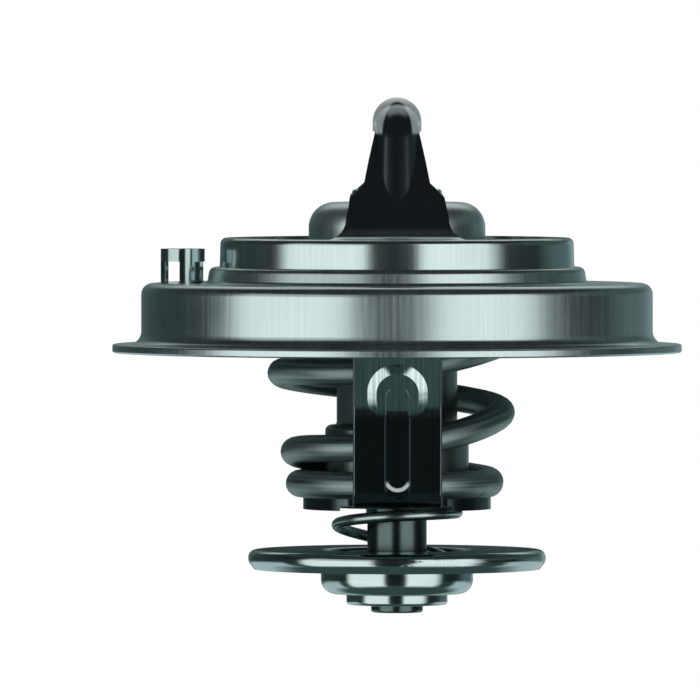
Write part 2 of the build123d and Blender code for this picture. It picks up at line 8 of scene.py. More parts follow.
# %% The frame
import bmesh
import bpy
import json
from math import cos, pi, radians, sin, tan
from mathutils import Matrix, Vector


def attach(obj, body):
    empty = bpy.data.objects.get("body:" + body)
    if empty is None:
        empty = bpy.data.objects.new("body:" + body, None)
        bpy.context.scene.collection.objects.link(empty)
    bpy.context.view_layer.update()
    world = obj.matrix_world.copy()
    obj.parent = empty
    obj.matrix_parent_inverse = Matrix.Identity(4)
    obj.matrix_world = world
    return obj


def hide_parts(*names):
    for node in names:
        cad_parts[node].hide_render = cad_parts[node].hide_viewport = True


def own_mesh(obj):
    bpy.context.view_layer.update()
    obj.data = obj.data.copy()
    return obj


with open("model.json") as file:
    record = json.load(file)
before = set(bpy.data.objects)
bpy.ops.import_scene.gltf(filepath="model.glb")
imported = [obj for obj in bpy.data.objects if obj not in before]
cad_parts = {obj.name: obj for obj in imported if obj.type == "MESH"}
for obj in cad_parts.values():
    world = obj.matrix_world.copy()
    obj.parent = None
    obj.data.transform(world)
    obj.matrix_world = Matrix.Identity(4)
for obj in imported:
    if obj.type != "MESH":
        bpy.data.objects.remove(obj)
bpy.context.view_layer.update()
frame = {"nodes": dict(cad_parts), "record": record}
MM = 0.001
print("CAD pieces:", len(frame["nodes"]))

# %% [markdown]
# ## The camera
#
# The photograph was taken from far away with a long lens, nearly level with the flange:
# the flange's round rim shows as a thin ellipse. A long lens over a metre and a half away
# gives the same flat look. The camera aims at the point that lies in the photo's centre.

# %% The camera
PHOTO_SIDE = 700                 # pixels
PIXELS_PER_MM = 8.5
AXIS_X = 397                     # the thermostat's axis in the photo, in pixels
LEVEL_Y = 352.4                  # the flange's underside at the axis, in pixels
CAMERA_AWAY = 1.6
CAMERA_HEIGHT = 0.035

aim = Vector(((PHOTO_SIDE / 2 - AXIS_X) / PIXELS_PER_MM * MM, 0,
              (LEVEL_Y - PHOTO_SIDE / 2) / PIXELS_PER_MM * MM))
camera_data = bpy.data.cameras.new("camera")
camera = bpy.data.objects.new("camera", camera_data)
bpy.context.scene.collection.objects.link(camera)
bpy.context.scene.camera = camera
camera.location = (aim.x, -CAMERA_AWAY, CAMERA_HEIGHT)
camera.rotation_mode = "QUATERNION"
camera.rotation_quaternion = (aim - camera.location).to_track_quat("-Z", "Y")
photo_width = PHOTO_SIDE / PIXELS_PER_MM * MM
camera_data.lens = camera_data.sensor_width * CAMERA_AWAY / photo_width
camera_data.clip_start, camera_data.clip_end = 0.1, 20
print("lens, mm:", round(camera_data.lens))

# %% [markdown]
# ## The studio
#
# Bright metal has hardly a colour of its own: it shows the room. In the photo two big
# soft boxes stand left and right of the camera, and the room behind the camera is black,
# also low down. Lamps and cards could be set up for this, but the room may as well be
# painted on the world, by direction: once round the walls, and once from the floor to
# the ceiling. First come a few small helpers that join nodes.

# %% Helpers for nodes
def wire(tree, source, target):
    """Joins an output to an input, given as (node, socket name or number)."""
    tree.links.new(source[0].outputs[source[1]], target[0].inputs[target[1]])


def ramp(tree, stops):
    """A colour ramp with stops as (place, value or colour)."""
    node = tree.nodes.new("ShaderNodeValToRGB")
    elements = node.color_ramp.elements
    while len(elements) > 1:
        elements.remove(elements[-1])
    for index, (place, value) in enumerate(stops):
        stop = elements[0] if index == 0 else elements.new(place)
        stop.position = place
        colour = value if isinstance(value, tuple) else (value, value, value)
        stop.color = (*colour, 1)
    return node


def math_node(tree, operation, *parts):
    """A Math node. Its inputs are numbers or (node, socket)."""
    node = tree.nodes.new("ShaderNodeMath")
    node.operation = operation
    for index, part in enumerate(parts):
        if isinstance(part, tuple):
            wire(tree, part, (node, index))
        else:
            node.inputs[index].default_value = part
    return node


def vectors(tree, operation, *parts):
    """A Vector Math node over (node, socket)."""
    node = tree.nodes.new("ShaderNodeVectorMath")
    node.operation = operation
    for index, part in enumerate(parts):
        wire(tree, part, (node, index))
    return node


# %% [markdown]
# ## How bright the room is, and where
#
# The numbers below were worked out from the photograph. The flange's wall is an upright
# cylinder, a mirror bent round the axis: a place at angle a from its middle shows the room
# at angle 2a from the camera. So the bright bands on the wall tell where the soft boxes
# stand. The boxes end at 30 to 46 degrees under the horizon, because the undersides are
# dark in the photo. Low and high walls add a dim back light, so that the part doesn't
# drown in black when it is seen from its sides.

# %% The room in numbers
SOFT_BOXES = [   # degrees from the camera's side, towards +X, and how bright the room is
    (-84, 0.01), (-76, 1.22), (-22, 1.28), (-17, 0.008), (12, 0.008), (17, 1.3), (60, 1.2),
]
ROUND = [
    (-180, 0.02), (-175, 0.04), (-170, 0.1), (-160, 0.1), (-150, 0.04), (-100, 0.03),
    *SOFT_BOXES, (74, 0.02), (104, 0.01), (124, 0.14), (148, 0.16), (160, 0.36), (170, 0.36),
    (175, 0.05), (180, 0.02),
]
LOW_ROUND = [    # the same, well below the horizon
    (-180, 0.2), (-168, 0.6), (-104, 0.65), (-96, 0.05), (-84, 0.05),
    *SOFT_BOXES[1:], (74, 0.05), (96, 0.05), (104, 0.65), (168, 0.6), (180, 0.2),
]
HIGH_ROUND = [   # and well above it
    (-180, 0.2), (-160, 0.15), (-150, 0.06),
    *SOFT_BOXES, (74, 0.05), (104, 0.06), (150, 0.08), (160, 0.15), (180, 0.2),
]
# From here on, a place is the sine of the height over the horizon, or of the angle to a side.
LOW = [(-0.2, 1), (-0.09, 0)]            # where the low walls take over
HIGH = [(0.09, 0), (0.2, 1)]             # and the high ones
LEFT_UP = [      # how much of the left box is left as it goes up, and of the right one
    (-0.72, 0), (-0.5, 1), (0.15, 1), (0.3, 0.55), (0.5, 0.5), (0.66, 0),
]
RIGHT_UP = [(-0.72, 0), (-0.5, 1), (0.5, 1), (0.66, 0)]
BEHIND = [(0.3, 0), (0.5, 0.6)]          # a high back light: how far behind the object,
OVER = [(0.3, 0), (0.5, 1)]              # how high,
MIDDLE = [(-0.5, 0), (-0.3, 1), (0.3, 1), (0.5, 0)]     # and how far to a side
UNDER = [(-0.68, 0.09), (-0.4, 0.006)]   # the floor's own shine

# %% The room's directions
world = bpy.data.worlds.new("studio")
bpy.context.scene.world = world
world.use_nodes = True
room = world.node_tree
room.nodes.clear()
direction = room.nodes.new("ShaderNodeTexCoord")
axes = room.nodes.new("ShaderNodeSeparateXYZ")
wire(room, (direction, "Generated"), (axes, 0))


def tinted(level):
    """A grey that turns towards teal where it is dark, as in the photograph."""
    return (level * (0.6 + 0.4 * min(1, level)), level, level)


def round_walls(stops):
    """The walls' colour, by the angle round the object."""
    facing = math_node(room, "MULTIPLY", (axes, "Y"), -1)
    around = math_node(room, "ARCTAN2", (axes, "X"), (facing, 0))
    place = math_node(room, "MULTIPLY_ADD", (around, 0), 1 / (2 * pi), 0.5)
    node = ramp(room, [((angle + 180) / 360, tinted(level)) for angle, level in stops])
    wire(room, (place, 0), (node, 0))
    return node, 0


def by(axis, stops, colour=lambda level: level):
    """A level by one axis of the direction, which runs from -1 to 1."""
    place = math_node(room, "MULTIPLY_ADD", (axes, axis), 0.5, 0.5)
    node = ramp(room, [((at + 1) / 2, colour(level)) for at, level in stops])
    wire(room, (place, 0), (node, 0))
    return node, 0


def blend(share, first, second):
    """From one colour to another by a share from 0 to 1."""
    node = room.nodes.new("ShaderNodeMixRGB")
    wire(room, share, (node, "Fac"))
    wire(room, first, (node, "Color1"))
    wire(room, second, (node, "Color2"))
    return node, 0


# %% The room, painted
to_right = (math_node(room, "GREATER_THAN", (axes, "X"), 0.0), 0)
walls = blend(by("Z", LOW), round_walls(ROUND), round_walls(LOW_ROUND))
walls = blend(by("Z", HIGH), walls, round_walls(HIGH_ROUND))
fade = blend(to_right, by("Z", LEFT_UP), by("Z", RIGHT_UP))
boxes = vectors(room, "MULTIPLY", walls, fade)
high_back = vectors(room, "MULTIPLY", by("Y", BEHIND), by("Z", OVER))
back_light = vectors(room, "MULTIPLY", (high_back, 0), by("X", MIDDLE))
lit = vectors(room, "ADD", (boxes, 0), (back_light, 0))
whole = vectors(room, "ADD", (lit, 0), by("Z", UNDER, tinted))
print("nodes in the room:", len(room.nodes))

# %% [markdown]
# ## Who sees the room
#
# Only reflections see the painted room. All other rays meet plain white: the camera, which
# should see a white backdrop, and the rays that light rubber and plastic.

# %% The backdrop
seen = room.nodes.new("ShaderNodeBackground")
wire(room, (whole, 0), (seen, "Color"))
plain = room.nodes.new("ShaderNodeBackground")
plain.inputs["Color"].default_value = (1, 1, 1, 1)
plain.inputs["Strength"].default_value = 1.0
path = room.nodes.new("ShaderNodeLightPath")
either = room.nodes.new("ShaderNodeMixShader")
wire(room, (path, "Is Glossy Ray"), (either, 0))
wire(room, (plain, 0), (either, 1))
wire(room, (seen, 0), (either, 2))
out = room.nodes.new("ShaderNodeOutputWorld")
wire(room, (either, 0), (out, "Surface"))
bpy.context.scene.view_settings.view_transform = "Standard"

# %% [markdown]
# ## The table
#
# A round pale table catches a soft shadow under the part. In the photo it can't be seen and
# it doesn't shine up into the metal, so the table hides from reflections. It lies a little
# under the bypass disc, because the real part hangs in its housing and stands on nothing.

# %% The table
TABLE_R = 0.13
TABLE_Z = -0.046

table = bmesh.new()
bmesh.ops.create_circle(table, cap_ends=True, radius=TABLE_R, segments=96)
bmesh.ops.translate(table, vec=(0, 0, TABLE_Z), verts=table.verts)
table_mesh = bpy.data.meshes.new("table")
table.to_mesh(table_mesh)
table.free()
table_top = bpy.data.objects.new("table", table_mesh)
bpy.context.scene.collection.objects.link(table_top)
table_top.visible_glossy = False
pale = bpy.data.materials.new("pale_table")
pale.use_nodes = True
shader = pale.node_tree.nodes["Principled BSDF"]
shader.inputs["Base Color"].default_value = (0.9, 0.9, 0.9, 1)
shader.inputs["Roughness"].default_value = 0.9
shader.inputs["Emission Color"].default_value = (1, 1, 1, 1)
shader.inputs["Emission Strength"].default_value = 0.2
table_mesh.materials.append(pale)

# %% [markdown]
# ## Marks that follow the tool
#
# Pressed and turned metal keeps the marks of how it was made. A drawn cup has fine lines
# up its wall, where it slid through the die. A turned piece has rings round its axis. Strip
# from a rolling mill has lines along the strip, and wire has them along the wire. Each kind
# is one noise, squeezed across the tool's way and stretched along it. The piece's own
# coordinates drive it, or the map along the wire, so the marks stay put in every view.

# %% Helpers for marks
FINE, LONG = 3500, 45            # marks in a metre, across the tool's way and along it
DRAWN_ROUND, TURNED_ROUND = 70, 1.5     # how fast they change round a drawn or turned piece
GRAIN = 2450                     # grains in a metre, any way
WIRE_ROUND, WIRE_LONG = 3.2, 24  # marks on a wire, round it and along its whole length


def joined(tree, *parts):
    """A vector from three numbers or (node, socket)."""
    node = tree.nodes.new("ShaderNodeCombineXYZ")
    for index, part in enumerate(parts):
        if isinstance(part, tuple):
            wire(tree, part, (node, index))
        else:
            node.inputs[index].default_value = part
    return node, 0


def scaled(tree, value, factor):
    """A number times a factor."""
    return math_node(tree, "MULTIPLY", value, factor), 0


def place_of(tree, where, coordinates="Object"):
    """The coordinates, taken apart."""
    apart = tree.nodes.new("ShaderNodeSeparateXYZ")
    wire(tree, (where, coordinates), (apart, 0))
    return apart


def from_axis(tree, apart):
    """How far a point lies from the thermostat's axis."""
    return vectors(tree, "LENGTH", joined(tree, (apart, "X"), (apart, "Y"), 0.0)), "Value"


def drawn(tree, where):
    """Lines up the wall of a drawn piece and outward over its flats."""
    apart = place_of(tree, where)
    away = from_axis(tree, apart)
    turn_x = math_node(tree, "DIVIDE", (apart, "X"), away)
    turn_y = math_node(tree, "DIVIDE", (apart, "Y"), away)
    up = math_node(tree, "ADD", (apart, "Z"), away)
    return joined(tree, scaled(tree, (turn_x, 0), DRAWN_ROUND),
                  scaled(tree, (turn_y, 0), DRAWN_ROUND), scaled(tree, (up, 0), LONG))


def turned(tree, where):
    """Rings round the axis of a turned piece."""
    apart = place_of(tree, where)
    away = from_axis(tree, apart)
    turn = math_node(tree, "DIVIDE", (apart, "X"), away)
    return joined(tree, scaled(tree, away, FINE), scaled(tree, (apart, "Z"), FINE),
                  scaled(tree, (turn, 0), TURNED_ROUND))


def rolled(tree, where):
    """Lines along a strip that runs up, over and down in the plane of Y and Z."""
    apart = place_of(tree, where)
    return joined(tree, scaled(tree, (apart, "X"), FINE), scaled(tree, (apart, "Y"), LONG),
                  scaled(tree, (apart, "Z"), LONG))


def along_wire(tree, where):
    """Lines along a wire, from its map: once round is U, and its whole length is V."""
    apart = place_of(tree, where, "UV")
    angle = scaled(tree, (apart, "X"), 2 * pi)
    right = math_node(tree, "COSINE", angle)
    top = math_node(tree, "SINE", angle)
    return joined(tree, scaled(tree, (right, 0), WIRE_ROUND), scaled(tree, (top, 0), WIRE_ROUND),
                  scaled(tree, (apart, "Y"), WIRE_LONG))


def grained(tree, where):
    """No direction at all: the skin of moulded rubber and plastic."""
    apart = place_of(tree, where)
    return joined(tree, *(scaled(tree, (apart, axis), GRAIN) for axis in "XYZ"))


def noise(tree, vector, scale=1.0, detail=3.0):
    """A noise texture along a vector."""
    node = tree.nodes.new("ShaderNodeTexNoise")
    node.inputs["Scale"].default_value = scale
    node.inputs["Detail"].default_value = detail
    wire(tree, vector, (node, "Vector"))
    return node, 0


def step(tree, value, low, high):
    """A soft step from 0 to 1 as a value goes from low to high."""
    node = tree.nodes.new("ShaderNodeMapRange")
    node.interpolation_type = "SMOOTHSTEP"
    node.inputs["From Min"].default_value = low
    node.inputs["From Max"].default_value = high
    wire(tree, value, (node, 0))
    return node, 0


def between(tree, value, low, high):
    """The same, for places in millimetres."""
    return step(tree, value, low * MM, high * MM)


# %% [markdown]
# ## Wear
#
# A thermostat is bright where other pieces and the press tool have rubbed it, above all
# along its edges. The Bevel node tells how near an edge is: it rounds the normal there, and
# the less the rounded normal agrees with the true one, the nearer the edge. A noise breaks
# the line up. Hairline scratches are a noise too, stretched very long, of which only
# the peaks are kept. A slow noise over all is the oil film that is left from pressing.

# %% Helpers for wear
EDGE_REACH = 0.35                # how far the wear reaches from an edge, in millimetres
EDGE_AGREES = (0.985, 0.9)       # how well two normals agree where wear starts and is full
PATCHES_IN_METRE = 500           # how fast wear comes and goes along an edge
HAIR_ACROSS, HAIR_ALONG = 2600, 90      # scratches in a metre
HAIR_TILT = 20                   # degrees
HAIR_PEAKS = (0.69, 0.74)        # the part of the noise that is kept


def near_edges(tree, where):
    """1 along the edges of a piece, broken up."""
    rounded = tree.nodes.new("ShaderNodeBevel")
    rounded.samples = 4
    rounded.inputs["Radius"].default_value = EDGE_REACH * MM
    true = tree.nodes.new("ShaderNodeNewGeometry")
    agree = vectors(tree, "DOT_PRODUCT", (rounded, 0), (true, "Normal"))
    edge = step(tree, (agree, "Value"), *EDGE_AGREES)
    patchy = step(tree, noise(tree, (where, "Object"), PATCHES_IN_METRE, 2), 0.35, 0.6)
    return math_node(tree, "MULTIPLY", edge, patchy), 0


def hairlines(tree, where, turn):
    """1 on thin scratches that run one way across a piece."""
    tilted = tree.nodes.new("ShaderNodeMapping")
    tilted.inputs["Rotation"].default_value = (radians(HAIR_TILT), radians(turn), radians(turn))
    tilted.inputs["Scale"].default_value = (HAIR_ACROSS, HAIR_ACROSS, HAIR_ALONG)
    wire(tree, (where, "Object"), (tilted, 0))
    return step(tree, noise(tree, (tilted, 0), 1.0, 1), *HAIR_PEAKS)


def most(tree, first, second):
    """The greater of two."""
    return math_node(tree, "MAXIMUM", first, second), 0


def mean(tree, share, first, second):
    """A number between two others."""
    node = tree.nodes.new("ShaderNodeMix")
    node.inputs[0].default_value = share
    wire(tree, first, (node, 2))
    wire(tree, second, (node, 3))
    return node, 0


def painted(tree, share, first, second):
    """A colour that turns into another by a share."""
    node = tree.nodes.new("ShaderNodeMixRGB")
    wire(tree, share, (node, "Fac"))
    wire(tree, first, (node, "Color1"))
    node.inputs["Color2"].default_value = (*second, 1)
    return node, 0


def changed(tree, share, first, second):
    """A number that turns into another by a share."""
    node = tree.nodes.new("ShaderNodeMix")
    wire(tree, share, (node, 0))
    wire(tree, first, (node, 2))
    node.inputs[3].default_value = second
    return node, 0


# %% [markdown]
# ## The finishes
#
# One recipe serves every piece: a colour with slow patches of oil film, marks in the
# direction its maker gave them, scratches, brighter edges, and the same marks again as a
# very shallow relief, a few thousandths of a millimetre, that frays the reflections.
# Metals take their colour from what they mirror, so their own colour stays a plain grey
# with a little green in it, like the photograph's. The sheet that was drawn through a die
# also spreads its highlights along the wall, which is what anisotropy is for.

# %% The recipe
PALE, DARK = 0.7, 0.3            # the noise's value where a finish is palest and darkest
SLOW = 110                       # slow patches in a metre
FILM_SHOWS = (0.5, 0.75)         # the part of the slow noise that is filmed with oil
FILM_SHADE, SCRATCH_GLOW = 0.35, 1.35   # times the finish's own colour
SCRATCH_ROUGH, WORN_ROUGH = 0.35, 0.28
WORN_COLOUR = (0.75, 0.82, 0.82)


def finish(name, colour, marks, rough=(0.2, 0.3), spread=0.1, film=0.1, relief=0.002,
           scratched=0.2, mottle=0.5, worn=None, metallic=1.0, anisotropic=0.0, patches=()):
    """A finish with marks made by one of the functions above. Each patch is a function
    of the coordinates with a colour and a roughness of its own."""
    material = bpy.data.materials.new(name)
    material.use_nodes = True
    tree = material.node_tree
    shader = tree.nodes["Principled BSDF"]
    shader.inputs["Metallic"].default_value = metallic
    where = tree.nodes.new("ShaderNodeTexCoord")
    lines = noise(tree, marks(tree, where))
    slow = noise(tree, (where, "Object"), SLOW, 4)
    mixed = mean(tree, mottle, lines, slow)
    shades = ramp(tree, [(DARK, tuple(c * (1 - spread) for c in colour)),
                         (PALE, tuple(min(1, c * (1 + spread)) for c in colour))])
    wire(tree, mixed, (shades, 0))
    filmed = step(tree, slow, *FILM_SHOWS)
    tone = painted(tree, scaled(tree, filmed, film), (shades, 0),
                   tuple(FILM_SHADE * c for c in colour))
    dullness = tree.nodes.new("ShaderNodeMapRange")
    dullness.inputs["From Min"].default_value = DARK
    dullness.inputs["From Max"].default_value = PALE
    dullness.inputs["To Min"].default_value = rough[0]
    dullness.inputs["To Max"].default_value = rough[1]
    wire(tree, mixed, (dullness, 0))
    dull = (dullness, 0)
    if scratched:
        lines_both = most(tree, hairlines(tree, where, 35), hairlines(tree, where, -50))
        scratch = scaled(tree, lines_both, scratched)
        tone = painted(tree, scratch, tone, tuple(min(1, SCRATCH_GLOW * c) for c in colour))
        dull = changed(tree, scratch, dull, SCRATCH_ROUGH)
    if worn:
        edge = near_edges(tree, where)
        tone = painted(tree, scaled(tree, edge, worn), tone, WORN_COLOUR)
        dull = changed(tree, scaled(tree, edge, worn), dull, WORN_ROUGH)
    for patch, patch_colour, patch_rough in patches:
        mask = patch(tree, where)
        tone = painted(tree, mask, tone, patch_colour)
        dull = changed(tree, mask, dull, patch_rough)
    wire(tree, tone, (shader, "Base Color"))
    wire(tree, dull, (shader, "Roughness"))
    bump = tree.nodes.new("ShaderNodeBump")
    bump.inputs["Distance"].default_value = relief * MM
    wire(tree, lines, (bump, "Height"))
    wire(tree, (bump, 0), (shader, "Normal"))
    if anisotropic:
        shader.inputs["Anisotropic"].default_value = anisotropic
        tangent = tree.nodes.new("ShaderNodeTangent")
        tangent.direction_type = "RADIAL"
        tangent.axis = "Z"
        wire(tree, (tangent, 0), (shader, "Tangent"))
    return material


# %% [markdown]
# ## Patches
#
# Some places differ from the rest of their piece in the photograph, and here light and shade
# are painted into the colour. The bridge's legs are painted nearly black, a painted shade for
# the dark room they mirror; the yoke's lower halves get the same painted shade, and its
# sheared edges are painted dark too. The thimble over the piston gets a painted highlight,
# dull and pale, round the leg that crosses it, and a bright smile near the lower end of the
# yoke's rib is a painted highlight as well. Each patch is a mask of soft steps, so that none
# has a drawn outline. All the places are in millimetres.

# %% Patches
LEG_FOOT_Z = 14.3                # where the legs rise from the seat ring
CROWN = (1.7, 3.9, 25.5)         # the dark core that the painted highlight on the thimble leaves: half width, height, foot
ARM_EDGE = (4.85, 5.0)           # the arms' sheared edges, from their middle
ARM_LOW = (-6.0, -7.5)           # where the painted shade low on the arms starts and is full
SMILE_Z, SMILE_R = -14.3, 1.35       # the painted highlight's smile: its centre's height and its radius,
SMILE_FADE = (0.32, 0.12)          # where it starts and is full, from that radius,
SMILE_LOW = (-0.1, -0.8)           # and how far it reaches up


def leg_shade_patch(tree, where):
    """A painted shade: the legs painted near black, for the dark room they mirror."""
    apart = place_of(tree, where)
    return scaled(tree, between(tree, (apart, "Z"), LEG_FOOT_Z, LEG_FOOT_Z + 0.6), 0.85)


def thimble_highlight_patch(tree, where):
    """A painted highlight: the thimble over the piston and its sides painted pale and dull, round
    a dark core.
    """
    apart = place_of(tree, where)
    over = math_node(tree, "SUBTRACT", (apart, "Z"), CROWN[2] * MM)
    core = vectors(tree, "LENGTH", joined(tree, scaled(tree, (apart, "X"), 1 / (CROWN[0] * MM)),
                                          scaled(tree, (over, 0), 1 / (CROWN[1] * MM)), 0.0))
    outside = step(tree, (core, "Value"), 0.95, 1.1)
    shown = math_node(tree, "MULTIPLY", outside, between(tree, (over, 0), 0.0, 0.5))
    return shown, 0


def arm_edge_and_shade_patch(tree, where):
    """The arms painted darker than the rolled sheet: along their sheared edges, and on their
    lower halves as painted shade.
    """
    apart = place_of(tree, where)
    aside = math_node(tree, "ABSOLUTE", (apart, "X"))
    edge = between(tree, (aside, 0), *ARM_EDGE)
    low = between(tree, (apart, "Z"), *ARM_LOW)
    return most(tree, scaled(tree, edge, 0.9), scaled(tree, low, 0.92))


def smile_highlight_patch(tree, where):
    """A painted highlight: the lower half of a small ring on the rib, on both arms, painted
    bright.
    """
    apart = place_of(tree, where)
    up = math_node(tree, "SUBTRACT", (apart, "Z"), SMILE_Z * MM)
    spot = vectors(tree, "LENGTH", joined(tree, (apart, "X"), 0.0, (up, 0)))
    past = math_node(tree, "SUBTRACT", (spot, "Value"), SMILE_R * MM)
    off = math_node(tree, "ABSOLUTE", (past, 0))
    ring = between(tree, (off, 0), *SMILE_FADE)
    lower = between(tree, (up, 0), *SMILE_LOW)
    return math_node(tree, "MULTIPLY", ring, lower), 0


# %% The finishes of the pieces
STEEL = (0.52, 0.63, 0.63)
# near black, for the arms' dark sheared edges and the painted shade low on them
EDGE_AND_SHADE_BLACK = (0.05, 0.07, 0.08)
finishes = {
    "drawn_steel": finish("drawn_steel", STEEL, drawn, rough=(0.17, 0.27), worn=0.5,
                          anisotropic=0.7),
    # The bridge gets a painted shade on its legs and a painted highlight on its thimble.
    "bridge_steel": finish("bridge_steel", STEEL, rolled, rough=(0.13, 0.2), scratched=0.12,
                           worn=0.3, patches=[(leg_shade_patch, (0.11, 0.14, 0.165), 0.2),
                                              (thimble_highlight_patch, (0.85, 0.92, 0.92), 0.55)]),
    # The yoke gets dark edges, painted shade low on its arms and a painted highlight on its rib.
    "yoke_steel": finish("yoke_steel", STEEL, rolled, rough=(0.07, 0.15), spread=0.4,
                         mottle=0.2, worn=0.08, patches=[(arm_edge_and_shade_patch, EDGE_AND_SHADE_BLACK, 0.2),
                                                         (smile_highlight_patch, (0.8, 0.9, 0.9), 0.6)]),
    "hat_steel": finish("hat_steel", (0.58, 0.68, 0.68), drawn, rough=(0.24, 0.36), worn=0.3),
    "disc_steel": finish("disc_steel", STEEL, turned, rough=(0.1, 0.17), worn=0.4),
    "vent_steel": finish("vent_steel", (0.4, 0.5, 0.5), rolled, rough=(0.1, 0.17), worn=0.4),
    "collar_steel": finish("collar_steel", STEEL, turned, rough=(0.12, 0.2), worn=0.4),
    "ground_steel": finish("ground_steel", (0.7, 0.73, 0.74), turned, rough=(0.08, 0.12),
                           film=0.02, relief=0.0008, scratched=0.2),
    "spring_wire": finish("spring_wire", (0.25, 0.315, 0.32), along_wire, rough=(0.34, 0.56),
                          spread=0.5, film=0.3, mottle=0.15, relief=0.03, scratched=0.15),
    "element_brass": finish("element_brass", (0.22, 0.26, 0.255), drawn, rough=(0.22, 0.34),
                            film=0.25, worn=0.1),
    "stem_brass": finish("stem_brass", (0.11, 0.15, 0.15), turned, rough=(0.2, 0.3), film=0.2,
                         worn=0.1),
    "seal_rubber": finish("seal_rubber", (0.02, 0.022, 0.024), grained, rough=(0.4, 0.55),
                          spread=0.3, scratched=0, relief=0.01, metallic=0.0),
    "sleeve_rubber": finish("sleeve_rubber", (0.03, 0.03, 0.03), grained, rough=(0.5, 0.6),
                            spread=0.3, scratched=0, relief=0.01, metallic=0.0),
    "backup_plastic": finish("backup_plastic", (0.8, 0.79, 0.75), grained, rough=(0.4, 0.5),
                             spread=0.04, film=0.05, scratched=0.1, metallic=0.0),
    "wax": finish("wax", (0.72, 0.66, 0.5), grained, rough=(0.4, 0.5), spread=0.08, film=0.2,
                  scratched=0, metallic=0.0),
}
slots = {part["node"]: part["material_slot"] for part in frame["record"]["subparts"]}
for name, node in frame["nodes"].items():
    for slot in node.material_slots:
        slot.material = finishes[slots[name]]
bypass_wire = finish("bypass_wire", (0.44, 0.53, 0.53), along_wire, rough=(0.2, 0.32), spread=0.3,
                     mottle=0.15, relief=0.01)
print("finishes:", len(finishes))

# %% [markdown]
# ## The flange plate
#
# The biggest piece is one disc of sheet that a press drew into a flat flange, an upright
# wall, a shoulder and a collar. The CAD model's wall has a wide foot, and the photo shows
# a tight one, with the wall bright almost down to the flange. So the plate is made again:
# the outline of its cut as a single face, a vertex bevel that rounds each bend to its own
# radius, and one spin round the axis. A boolean cuts the hole that the air vent is riveted
# into. Weighted normals keep the flat faces flat beside the bends.

# %% The flange plate's cut
RIM_R, WALL_R, COLLAR_FOOT_R, COLLAR_R = 33.5, 30.1, 22.353, 22.003
SHOULDER_Z, COLLAR_Z = 8.15, 10.2
SHEET = 1.0
LEAN = 0.17      # the collar leans inward, which shifts its inner corners
PLATE_CUT = [    # radius, height and how round the corner is
    (RIM_R, 0.0, 0.25), (RIM_R, SHEET, 0.25), (WALL_R, SHEET, 1.5), (WALL_R, SHOULDER_Z, 1.3),
    (COLLAR_FOOT_R, SHOULDER_Z, 0.5), (COLLAR_R, COLLAR_Z, 0.8),
    (COLLAR_R - SHEET, COLLAR_Z - LEAN, 0.0),
    (COLLAR_FOOT_R - SHEET - LEAN, SHOULDER_Z - SHEET, 1.4),
    (WALL_R - SHEET, SHOULDER_Z - SHEET, 0.4), (WALL_R - SHEET, 0.0, 2.5),
]
BEND_STEPS, TURN_STEPS = 10, 240


def link(name, mesh):
    """An object at the origin that shows a mesh."""
    piece = bpy.data.objects.new(name, mesh)
    bpy.context.scene.collection.objects.link(piece)
    return piece


def corner_reach(before, corner, after, radius):
    """How far from a corner its arc begins."""
    turn = (corner - before).angle(after - corner)
    return radius * tan(turn / 2)


def rounded_outline(mesh, cut):
    """The outline of a cut as edges, with each corner rounded."""
    points = [Vector((r, 0, z)) * MM for r, z, _ in cut]
    corners = [mesh.verts.new(point) for point in points]
    mesh.faces.new(corners)
    for index, (corner, (_, _, radius)) in enumerate(zip(corners, cut)):
        if radius:
            after = points[(index + 1) % len(points)]
            reach = corner_reach(points[index - 1], points[index], after, radius * MM)
            bmesh.ops.bevel(mesh, geom=[corner], offset=reach, segments=BEND_STEPS, profile=0.5,
                            affect="VERTICES", material=-1)
    bmesh.ops.delete(mesh, geom=mesh.faces[:], context="FACES_ONLY")
    return mesh.edges[:]


# %% The flange plate
VENT_X, VENT_HOLE_R = -25.202, 2.64

plate = bmesh.new()
outline = rounded_outline(plate, PLATE_CUT)
bmesh.ops.spin(plate, geom=plate.verts[:] + outline, cent=(0, 0, 0), axis=(0, 0, 1),
               angle=2 * pi, steps=TURN_STEPS, use_merge=True, use_duplicate=False)
bmesh.ops.remove_doubles(plate, verts=plate.verts, dist=1e-7)
bmesh.ops.recalc_face_normals(plate, faces=plate.faces)
plate_mesh = bpy.data.meshes.new("flange_plate_drawn")
plate.to_mesh(plate_mesh)
plate.free()
plate_piece = link("flange_plate_drawn", plate_mesh)

drill = bmesh.new()
bmesh.ops.create_cone(drill, cap_ends=True, segments=64, radius1=VENT_HOLE_R * MM,
                      radius2=VENT_HOLE_R * MM, depth=4 * SHEET * MM)
bmesh.ops.translate(drill, vec=(VENT_X * MM, 0, (SHOULDER_Z - SHEET / 2) * MM),
                    verts=drill.verts)
drill_mesh = bpy.data.meshes.new("drill")
drill.to_mesh(drill_mesh)
drill.free()
drill_piece = link("drill", drill_mesh)

cut = plate_piece.modifiers.new("vent_hole", "BOOLEAN")
cut.operation, cut.solver, cut.object = "DIFFERENCE", "EXACT", drill_piece
graph = bpy.context.evaluated_depsgraph_get()
drilled = bpy.data.meshes.new_from_object(plate_piece.evaluated_get(graph))
plate_piece.modifiers.clear()
bpy.data.objects.remove(drill_piece)

# %% The plate's shading
SHARP = radians(35)              # edges that turn more than this stay sharp

